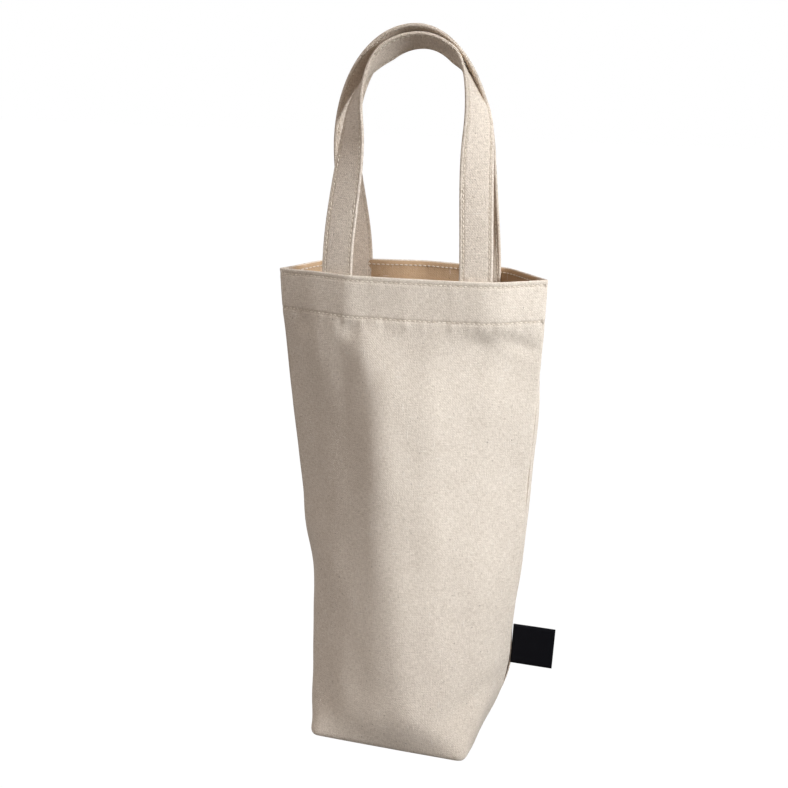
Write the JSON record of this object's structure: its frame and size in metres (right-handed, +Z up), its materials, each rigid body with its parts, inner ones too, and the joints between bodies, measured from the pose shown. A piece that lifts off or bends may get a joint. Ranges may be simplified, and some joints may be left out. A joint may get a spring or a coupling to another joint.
{
  "type": "bottle carrier",
  "caption": "Soft upright canvas bag for one bottle, with boxed base corners, a deep topstitched hem, two strap handles that fold down and a folded label in the side seam.",
  "frame": {"origin": "middle of the base, on the face that stands on the floor", "axes": "+Z up, +X to the right as seen from the front with the label on the +X seam, front of the bag towards -Y"},
  "size_m": [0.2008, 0.094, 0.4966],
  "materials": {
    "canvas": "unbleached plain-weave cotton canvas, matt",
    "strap": "folded cotton canvas strap, matt",
    "thread": "unbleached cotton sewing thread",
    "label": "plain black woven tape"
  },
  "bodies": {
    "bag": {"front_panel": "canvas", "back_panel": "canvas", "front_handle_left_end": "strap", "front_handle_right_end": "strap", "back_handle_left_end": "strap", "back_handle_right_end": "strap", "hem_upper_stitching": "thread", "hem_lower_stitching": "thread", "left_seam_overlock": "thread", "right_seam_overlock": "thread", "base_seam_overlock": "thread", "left_corner_overlock": "thread", "right_corner_overlock": "thread"},
    "front_loop": {"front_handle": "strap", "front_handle_stitching": "thread"},
    "back_loop": {"back_handle": "strap", "back_handle_stitching": "thread"},
    "label": {"side_label": "label"}
  },
  "joints": [
    {"name": "front_handle_fold", "type": "hinge", "parent": "bag", "child": "front_loop", "pos_m": [0, -0.0282, 0.336], "axis": [1, 0, 0], "range_deg": [0, 165]},
    {"name": "back_handle_fold", "type": "hinge", "parent": "bag", "child": "back_loop", "pos_m": [0, 0.0282, 0.336], "axis": [-1, 0, 0], "range_deg": [0, 165]},
    {"name": "label_flap", "type": "hinge", "parent": "bag", "child": "label", "pos_m": [0.07952, 0, 0.058], "axis": [0.0456, 0, 0.999], "range_deg": [-70, 70]}
  ]
}
